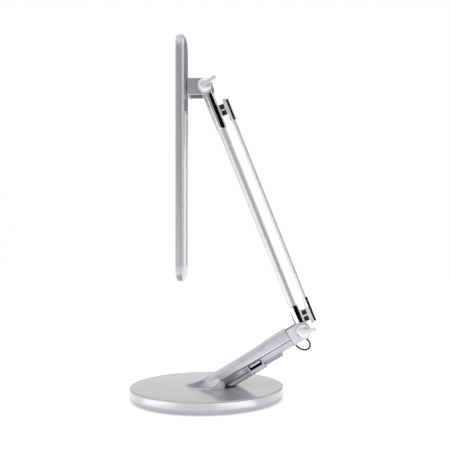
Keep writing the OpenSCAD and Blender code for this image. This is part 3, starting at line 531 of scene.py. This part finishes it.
def makeNeckUpper():
    half, rise, blank = neck["half"], neck["rise"], neck["blank"]
    shell = addBox("neckUpper", (rise[0][0], -half, neck["gap"]), (neck["length"], half, blank))
    for s, _ in rise[1:-1]:
        cutAcross(shell, (s, 0, 0), (1, 0, 0))
    for s, height in rise:
        shift(shell, (0, 0, height - blank), lambda c, n: abs(c.x - s) < 0.1 and c.z > 5)
    # the sides are slightly crowned
    for height, bulge in neck["crown"].items():
        cutAcross(shell, (0, 0, height), (0, 0, 1))
        stretch(shell, (1, 1 + bulge / half, 1), (0, 0, 0), lambda c, n: abs(c.z - height) < 0.05)
    roundEdges(shell, neck["chamfer"], 1, lambda c, n: abs(abs(c.y) - half) < 0.05 and c.z > 8)
    for s, share in neck["close"].items():
        up = neck["chamfer"] * share
        shift(shell, (0, 0, up),
              lambda c, n: abs(c.x - s) < 0.3 and abs(abs(c.y) - half) < 0.05 and c.z > 5)
        for side in (-1, 1):
            shift(shell, (0, side * up, 0), lambda c, n: abs(c.x - s) < 0.3 and c.z > 8
                  and abs(c.y * side - half + neck["chamfer"]) < 0.3)
    stretch(shell, (1, 1 - neck["lean"] / half, 1), (0, 0, 0),
            lambda c, n: abs(abs(c.y) - half) < 0.05 and c.z > 5)
    soften(shell, 0.7, 4, 24)
    seat(shell, neckPlace)
    cutAcross(shell, (0, 0, neck["disc"]["top"] - 0.5), (0, 0, -1), drop=True)
    cut(shell, makeFlare(True), join=True)
    rooms = [addBox("room", low, high) for low, high in neck["rooms"]]
    for room in rooms:
        seat(room, neckPlace)
    cut(shell, *rooms)
    complete(shell, shellPaint, "base", ["neck_upper_shell"], 28)


def makeNeckLower():
    half = neck["half"]
    cover = addBox("neckLower", (-16, -half, -11), (neck["length"], half, -neck["gap"]))
    for depth, _ in neck["sides"][1:-1]:
        cutAcross(cover, (0, 0, -depth), (0, 0, 1))
    for depth, wide in neck["sides"]:
        stretch(cover, (1, wide / half, 1), (0, 0, 0), lambda c, n: abs(c.z + depth) < 0.08)
    soften(cover, 0.7, 3, 20)
    start, end = neck["usb"]
    block = addBox("block", (start, -half, -10), (end, -5, -0.4))
    soften(block, 0.35, 2)
    cut(cover, block, join=True)
    a, b, top, bottom = neck["usbOpen"]
    tools = [addBox("port", (a, -half - 2, -bottom), (b, 3.6, -top)),
             addBox("notch", (end + 0.3, -20, -14), (end + 1.6, 20, -8.6)),
             addBox("step", (neck["comb"], -20, -14), (96, 20, -neck["combDepth"])),
             addBox("lift", (end + 1, -20, -14), (neck["comb"] + 1, 20, -9.6))]
    wide = neck["troughHalf"]
    tools += [addBox("trough", (a, -wide, -depth), (b, wide, 1)) for a, depth, b in neck["troughs"]]
    tools.append(addBox("cableSlot", *neck["cableSlot"]))
    tools += [addBox("slot", (s, -20, -8), (s + neck["slotWide"], 20, -5.8)) for s in neck["slots"]]
    for s in neck["screws"]:
        tools += [addRod("well", neck["well"], -12, (-8.9 if s < 50 else -7.8), "Z", 40, (s, 0, 0)),
                  addRod("bore", neck["bore"], -12, 0, "Z", 32, (s, 0, 0))]
    cut(cover, *tools)
    seat(cover, neckPlace)
    cutAcross(cover, (0, 0, neck["disc"]["top"] - 0.02), (0, 0, -1), drop=True)
    cut(cover, makeFlare(False), join=True)
    cut(cover, addBox("plateRoom", *neck["plateRoom"]))
    # the lower cover's darker paint is painted shade
    complete(cover, coverShadedPaint, "base", ["neck_lower_cover"], 28)


makeFoot()
makeNeckUpper()
makeNeckLower()
print("neck shells made")


# hinges: spine fork, bolts and knobs

fork = {"pivot": (105.2, 1.5), "reach": 8.4, "inner": 7.3, "lowOuter": 9.8, "highOuter": 10.3, "bolt": 3.0}
spineShape = {"start": 82, "end": 92.6, "low": 0.2, "top": 7.2, "cheekStart": 91.2, "cheekEdge": 0.4,
              "bar": ((-14, -6, 1.5), (83, 6, 6.5)), "plate": ((-3.8, -7, 13), (22.2, 7, 16.5))}
boltShape = {"head": 5.6, "headHeight": 2.6, "dome": 1.7, "key": 1.9, "tail": 4.4}
# a low dome with a short lever standing proud of it
knobShape = {"height": 6.8, "radius": 7, "dome": 4.3, "edge": 0.4, "lever": 13.6, "leverHalf": 2.0,
             "leverProud": 3.2, "tip": 0.82, "leverRound": 1.5, "boreDeep": 4.6}


def makeSpine():
    s, n = fork["pivot"]
    r = fork["reach"]
    spine, wide = spineShape, fork["lowOuter"]
    body = addBox("neckSpine", (spine["start"], -wide, spine["low"]), (spine["end"], wide, spine["top"]))
    for side in (-1, 1):
        y0, y1 = sorted((side * fork["inner"], side * fork["lowOuter"]))
        cheek = addBox("cheek", (spine["cheekStart"], y0, n - r), (s + r, y1, n + r))
        roundEdges(cheek, r - 0.02, 14, lambda c, d: c.x > s + r - 0.01 and abs(d.y) > 0.9)
        soften(cheek, spine["cheekEdge"], 3, 40)
        cut(body, cheek, join=True)
    cut(body, addBox("bar", *spine["bar"]), join=True)
    cut(body, addRod("bore", fork["bolt"], -20, 20, "Y", 48, (s, 0, n)))
    seat(body, neckPlace)
    cutAcross(body, (0, 0, 13.02), (0, 0, -1), drop=True)
    plate = addBox("plate", *spine["plate"])
    soften(plate, 0.4, 2)
    cut(body, plate, join=True)
    complete(body, castAlloy, "base", ["neck_spine"])


def makeBolt(name, pivot, outer, body, node):
    top = outer + boltShape["headHeight"]
    bolt = addRod(name, fork["bolt"], -outer - boltShape["tail"], outer + 0.1, "Y", 48)
    cap = addRod("cap", boltShape["head"], outer, top, "Y", 64)
    roundEdges(cap, boltShape["dome"], 6, lambda c, n: c.y > top - 0.1 and abs(n.y) < 0.01)
    cut(bolt, cap, join=True)
    cut(bolt, addRod("socket", boltShape["key"], outer + 1, outer + 4, "Y", 6))
    seat(bolt, Matrix.Translation(pivot))
    complete(bolt, chromePlate, body, [node])


def makeKnob(name, pivot, foot, angle, body, node):
    shape = knobShape
    top, wide = foot + shape["height"], shape["leverHalf"]
    knob = addRod(name, shape["radius"], -top, -foot, "Y", 96)
    roundEdges(knob, shape["dome"], 10, lambda c, n: c.y < -top + 0.01 and abs(n.y) < 0.01)
    roundEdges(knob, shape["edge"], 3, lambda c, n: c.y > -foot - 0.01 and abs(n.y) < 0.01)
    lever = addBox("lever", (-wide, -top - 0.6, -wide), (shape["lever"], -top + shape["leverProud"], wide))
    stretch(lever, (1, 1, shape["tip"]), (0, 0, 0), lambda c, n: c.x > 10)
    roundEdges(lever, shape["leverRound"], 6, lambda c, n: abs(n.y) > 0.9)
    soften(lever, 0.35, 3, 40)
    seat(lever, Matrix.Rotation(-math.radians(angle), 4, "Y"))
    cut(knob, lever, join=True)
    cut(knob, addRod("bore", fork["bolt"] + 0.06, -foot - shape["boreDeep"], -foot + 1, "Y", 48))
    seat(knob, Matrix.Translation(pivot))
    complete(knob, knobPaint, body, [node], 35)


makeSpine()
makeBolt("lowerBolt", lowPivot, fork["lowOuter"], "base", "lower_pivot_bolt")
makeBolt("upperBolt", highPivot, fork["highOuter"], "bracket", "upper_pivot_bolt")
makeKnob("lowerKnob", lowPivot, fork["lowOuter"] + 0.3, 13, "lower_knob", "lower_knob")
makeKnob("upperKnob", highPivot, fork["highOuter"] + 0.3, 35, "upper_knob", "upper_knob")
print("hinges made")


# arm

arm = {
    "tilt": 21.8, "length": 260, "tube": 4.2, "rod": 1.9, "gap": 14.5, "sleeve": 5.4, "rodSleeve": 3.0,
    "sleeveEnds": (26, 216), "rodLow": (2, 29.4), "rodHigh": (219.8, 243.8), "eye": (7, 6.4),
    "bridges": {"lower": (6.4, 19.2), "upper": (226.8, 239.2)}, "bridgeHalf": 3.2,
    "tubeEnds": (10, 250), "tubeWall": 1.0, "rodEnds": (6, 239.8), "rodWall": 0.6, "mouth": 6,
    "taper": 1.5, "mouthShare": 0.87, "rodDome": 2.6, "rodEdge": 0.35,
    "plug": 4.9, "plugDeep": 1.2, "plugRim": 0.7, "plugDish": 0.3,
}
armPlace = Matrix.Translation(lowPivot) @ Matrix.Rotation(-math.radians(arm["tilt"]), 4, "Y")


def makeTube(name, radius, wall, start, end, across, node):
    tube = addRod(name, radius, start, end, "Z", 64, (across, 0, 0))
    for top in (True, False):
        pick(tube, "FACE", lambda c, n: (n.z > 0.9) if top else (n.z < -0.9))
        bpy.ops.mesh.inset(thickness=wall * mm)
        deep = -arm["mouth"] if top else arm["mouth"]
        bpy.ops.mesh.extrude_region_move(TRANSFORM_OT_translate={"value": (0, 0, deep * mm)})
        plain()
    seat(tube, armPlace)
    complete(tube, satinTube, "arm", [node])


def makeEyeSleeve(name, reach, upper, node):
    radius, half = arm["eye"]
    taper, share = arm["taper"], arm["mouthShare"]
    sleeve = addRod(name, arm["sleeve"], 0, reach - taper, "Z", 96)
    pick(sleeve, "FACE", lambda c, n: n.z > 0.9)
    bpy.ops.mesh.extrude_region_move(TRANSFORM_OT_translate={"value": (0, 0, taper * mm)})
    bpy.ops.transform.resize(value=(share, share, 1), center_override=(0, 0, reach * mm))
    plain()
    eye = addRod("eye", radius, -half, half, "Y", 96)
    roundEdges(eye, 0.5, 3, lambda c, n: abs(c.y) > half - 0.01 and abs(n.y) < 0.01)
    cut(sleeve, eye, join=True)
    if not upper:
        stub = addRod("stub", 4, -8.4, 0, "Z", 48)
        soften(stub, 0.4, 2)
        cut(sleeve, stub, join=True)
        cut(sleeve, addRod("socket", 2.85, -9, -4.6, "Z", 40))
    cut(sleeve, addRod("bore", fork["bolt"] + 0.06, -20, 20, "Y", 48),
        addRod("seat", arm["tube"] + 0.02, arm["tubeEnds"][0], reach + 2, "Z", 64))
    if upper:
        seat(sleeve, Matrix.Translation((0, 0, arm["length"] * mm)) @ Matrix.Rotation(math.pi, 4, "X"))
    seat(sleeve, armPlace)
    complete(sleeve, chromePlate, "arm", [node], 30)


def makeRodSleeve(name, start, end, roundLow, node):
    sleeve = addRod(name, arm["rodSleeve"], start, end, "Z", 72, (arm["gap"], 0, 0))
    shut = start if roundLow else end
    roundEdges(sleeve, arm["rodDome"], 8, lambda c, n: abs(c.z - shut) < 0.01 and abs(n.z) < 0.01)
    roundEdges(sleeve, arm["rodEdge"], 2,
               lambda c, n: abs(c.z - (start + end - shut)) < 0.01 and abs(n.z) < 0.01)
    low, high = (arm["rodEnds"][0], end + 2) if roundLow else (start - 2, arm["rodEnds"][1])
    cut(sleeve, addRod("seat", arm["rod"] + 0.02, low, high, "Z", 48, (arm["gap"], 0, 0)))
    seat(sleeve, armPlace)
    complete(sleeve, chromePlate, "arm", [node])


def makeBridge(name, low, high):
    half, size = arm["bridgeHalf"], arm["plug"]
    middle = (arm["sleeve"] + arm["gap"] - arm["rodSleeve"]) / 2
    heights = (low * 0.75 + high * 0.25, low * 0.25 + high * 0.75)
    bridge = addBox(name + "Bridge", (0.5, -half, low), (arm["gap"], half, high))
    soften(bridge, 0.5, 3)
    cut(bridge, addRod("main", arm["sleeve"] + 0.03, low - 1, high + 1, "Z", 96),
        addRod("rear", arm["rodSleeve"] + 0.03, low - 1, high + 1, "Z", 72, (arm["gap"], 0, 0)))
    plugs = []
    for u in heights:
        for side in (-1, 1):
            y0, y1 = sorted((side * (half - arm["plugDeep"]), side * half))
            x0, x1 = middle - size / 2, middle + size / 2
            z0, z1 = u - size / 2, u + size / 2
            cut(bridge, addBox("pocket", (x0, y0 - (side < 0), z0), (x1, y1 + (side > 0), z1)))
            plug = addBox("plug", (x0 + 0.03, y0 + 0.02, z0 + 0.03), (x1 - 0.03, y1 - 0.02, z1 - 0.03))
            # a shallow dished face, as on a push-in cap
            pick(plug, "FACE", lambda c, n: n.y * side > 0.9)
            bpy.ops.mesh.inset(thickness=arm["plugRim"] * mm)
            bpy.ops.transform.translate(value=(0, -side * arm["plugDish"] * mm, 0))
            plain()
            plugs.append(plug)
    seat(bridge, armPlace)
    complete(bridge, knobPaint, "arm", [name + "_bridge"])
    plain()
    for plug in plugs:
        plug.select_set(True)
    bpy.context.view_layer.objects.active = plugs[0]
    bpy.ops.object.join()
    plugs[0].name = name + "Plugs"
    soften(plugs[0], 0.2, 2, 40)
    seat(plugs[0], armPlace)
    complete(plugs[0], blackPlastic, "arm", [name + "_bridge_plugs"])


makeTube("mainTube", arm["tube"], arm["tubeWall"], *arm["tubeEnds"], 0, "arm_main_tube")
makeTube("rearRod", arm["rod"], arm["rodWall"], *arm["rodEnds"], arm["gap"], "arm_rear_rod")
makeEyeSleeve("lowerSleeve", arm["sleeveEnds"][0], False, "lower_main_sleeve")
makeEyeSleeve("upperSleeve", arm["length"] - arm["sleeveEnds"][1], True, "upper_main_sleeve")
makeRodSleeve("lowerRodSleeve", *arm["rodLow"], True, "lower_rear_sleeve")
makeRodSleeve("upperRodSleeve", *arm["rodHigh"], False, "upper_rear_sleeve")
for name, (low, high) in arm["bridges"].items():
    makeBridge(name, low, high)
print("arm made")


# head bracket

bracket = {"flange": -17.8, "plate": 2.5, "reach": 8, "inner": 7.3, "outer": 10.3, "pinHole": 3.55}


def makeBracket():
    x0, r = bracket["flange"], bracket["reach"]
    body = addBox("headBracket", (x0, -bracket["outer"], -r), (r, bracket["outer"], r))
    roundEdges(body, r - 0.02, 14, lambda c, n: c.x > r - 0.01 and abs(n.y) > 0.9)
    roundEdges(body, 1.2, 4, lambda c, n: c.x < x0 + 0.01 and abs(n.z) > 0.9)
    cut(body, addBox("slot", (x0 + bracket["plate"], -bracket["inner"], -20), (20, bracket["inner"], 20)))
    soften(body, 0.35, 3, 35)
    cut(body, addRod("bore", fork["bolt"] + 0.01, -20, 20, "Y", 48),
        addRod("pinHole", bracket["pinHole"], x0 - 2, x0 + 4, "X", 48))
    seat(body, Matrix.Translation(highPivot))
    complete(body, bracketPaint, "bracket", ["head_bracket"], 35)


makeBracket()
print("bracket made")


# light head

head = {"corner": 16.5, "bevel": (3.0, 2.2), "backBevel": 1.5, "lip": 1.2, "wall": 1.5,
        "window": (26, -178, -24, 5), "pinHole": 3.55, "screws": (43, -186), "screwSide": 8,
        "post": 2.3, "frameBore": 1.05, "coverBore": 1.15, "screwWell": 1.95}


def roundedSlab(name, x0, x1, half, z0, z1, corner):
    slab = addBox(name, (x0, -half, z0), (x1, half, z1))
    roundEdges(slab, corner, 14, lambda c, n: abs(n.x) > 0.9)
    return slab


def makeHead():
    low, high = (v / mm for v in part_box("head_front_frame"))
    backLow, backHigh = (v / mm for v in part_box("head_back_cover"))
    face, joint, back = high.x, backHigh.x, backLow.x
    half, z0, z1, r = high.y, low.z, high.z, head["corner"]
    pivotZ = highPivot.z / mm
    wide, deep = head["bevel"]

    shell = roundedSlab("headFrame", joint + 0.06, face, half, z0, z1, r)
    pick(shell, "FACE", lambda c, n: n.x > 0.9)
    bpy.ops.mesh.inset(thickness=wide * mm)
    plain()

    def onOuterRim(c, n):
        # the face's outline, past the inset ring: straight runs first, then the round corners
        if c.x <= face - 0.01:
            return False
        if abs(c.y) > half - wide + 0.4 or c.z > z1 - wide + 0.4 or c.z < z0 + wide - 0.4:
            return True
        if abs(c.y) <= half - r or z0 + r <= c.z <= z1 - r:
            return False
        along = c.z - z1 + r if c.z > pivotZ - 60 else z0 + r - c.z
        return Vector((abs(c.y) - half + r, along)).length > r - wide + 0.5

    shift(shell, (-deep, 0, 0), onOuterRim)
    soften(shell, 0.5, 3, 22)
    w, w0, w1, wr = head["window"]
    window = roundedSlab("window", face - 6, face + 2, w / 2, pivotZ + w0, pivotZ + w1, wr)
    pocket = roundedSlab("pocket", joint - 2, face - head["lip"], half - wide - 0.6, z0 + wide + 0.6,
                         z1 - wide - 0.6, r - wide - 0.6)
    cut(shell, window, pocket, addRod("hole", head["pinHole"], face - 8, face + 2, "X", 48, (0, 0, pivotZ)))
    for z in head["screws"]:
        for side in (-1, 1):
            spot = (0, side * head["screwSide"], pivotZ + z)
            cut(shell, addRod("post", head["post"], joint + 0.4, face - 1, "X", 32, spot), join=True)
            cut(shell, addRod("bore", head["frameBore"], joint - 2, face - 0.8, "X", 24, spot))
    # the frame's paler paint is a painted highlight on the lit rim
    complete(shell, frameHighlightPaint, "head", ["head_front_frame"], 30)

    cover = roundedSlab("headBack", back, joint - 0.1, half, z0, z1, r)
    roundEdges(cover, head["backBevel"], 4, lambda c, n: c.x < back + 0.01 and abs(n.x) < 0.01)
    roundEdges(cover, 0.3, 2, lambda c, n: c.x > joint - 0.11 and abs(n.x) < 0.01)
    wall = head["wall"]
    cut(cover, roundedSlab("pocket", back + wall, joint + 2, half - wall, z0 + wall, z1 - wall, r - wall))
    for z in head["screws"]:
        for side in (-1, 1):
            spot = (0, side * head["screwSide"], pivotZ + z)
            cut(cover, addRod("post", head["post"], back + 0.8, joint - 0.3, "X", 32, spot), join=True)
            cut(cover, addRod("bore", head["coverBore"], back - 1, joint + 2, "X", 24, spot),
                addRod("well", head["screwWell"], back - 1, back + 1.25, "X", 32, spot))
    complete(cover, headPaint, "head", ["head_back_cover"], 30)


makeHead()
print("head made")


# floor and light

def stagePiece(name, size, place, turn, finish):
    plain()
    bpy.ops.mesh.primitive_plane_add(size=1, location=place, rotation=turn)
    obj = bpy.context.object
    obj.name = name
    obj.scale = (*size, 1)
    obj.data.materials.append(finish)
    return obj


stageLook = {"floorGlow": 0.3, "cardGlow": 1.6, "skyGlow": 1.0, "softTopPower": 3}
paleFloor = startFinish("palePaintedFloor", {
    "Base Color": colour("F8F8F8"), "Roughness": 0.7, "Specular IOR Level": 0.2,
    "Emission Color": (1, 1, 1, 1), "Emission Strength": stageLook["floorGlow"]})[0]
greyCloth = startFinish("greyCard", {
    "Base Color": colour("9A9A9D"), "Roughness": 1.0, "Specular IOR Level": 0.0})[0]
darkCloth = startFinish("darkCard", {
    "Base Color": colour("0A0A0A"), "Roughness": 1.0, "Specular IOR Level": 0.0})[0]
glowCloth = startFinish("brightCard", {
    "Base Color": colour("FFFFFF"), "Roughness": 1.0, "Emission Color": (1, 1, 1, 1),
    "Emission Strength": stageLook["cardGlow"]})[0]

stagePiece("floor", (8, 8), (0, 0, 0), (0, 0, 0), paleFloor)
upright = math.radians(90)
cards = [
    # a dark card to the right of the camera gives the polished sleeves their black line
    stagePiece("darkCard", (2.1, 1.5), (0.74, -0.6, 0.55), (upright, 0, math.radians(50)), darkCloth),
    # another behind the lamp gives them their thin edge lines, and a black line when seen from behind
    stagePiece("backCard", (2.4, 1.2), (0, 1.5, 1.1), (upright, 0, 0), darkCloth),
    # two bright cards lying before the base give its rim two soft highlights
    stagePiece("leftGlow", (0.09, 0.07), (-0.098, -0.1, 0.002), (0, 0, math.radians(35)), glowCloth),
    stagePiece("rightGlow", (0.09, 0.08), (0.076, -0.118, 0.002), (0, 0, math.radians(-40)), glowCloth),
    # a grey card above the camera gives the painted sides their fall-off towards the top
    stagePiece("greyCard", (1.5, 1.5), (-0.75, -1.6, 1.05), (upright, 0, 0), greyCloth),
]
for card in cards:
    # seen in reflections only
    card.visible_camera = card.visible_diffuse = card.visible_shadow = False

world = bpy.data.worlds.new("studio")
world.use_nodes = True
bpy.context.scene.world = world
sky = world.node_tree.nodes["Background"]
sky.inputs["Color"].default_value = (1, 1, 1, 1)
sky.inputs["Strength"].default_value = stageLook["skyGlow"]


def addLight(name, place, aim, size, power):
    data = bpy.data.lights.new(name, "AREA")
    data.shape = "RECTANGLE"
    data.size, data.size_y = size
    data.energy = power
    light = bpy.data.objects.new(name, data)
    light.location = place
    light.rotation_euler = (Vector(aim) - Vector(place)).to_track_quat("-Z", "Y").to_euler()
    bpy.context.scene.collection.objects.link(light)


addLight("softTop", (0.05, -0.2, 1.6), (0.03, 0, 0.1), (2.0, 2.0), stageLook["softTopPower"])
bpy.context.scene.view_settings.view_transform = "Standard"
print("floor and light ready")
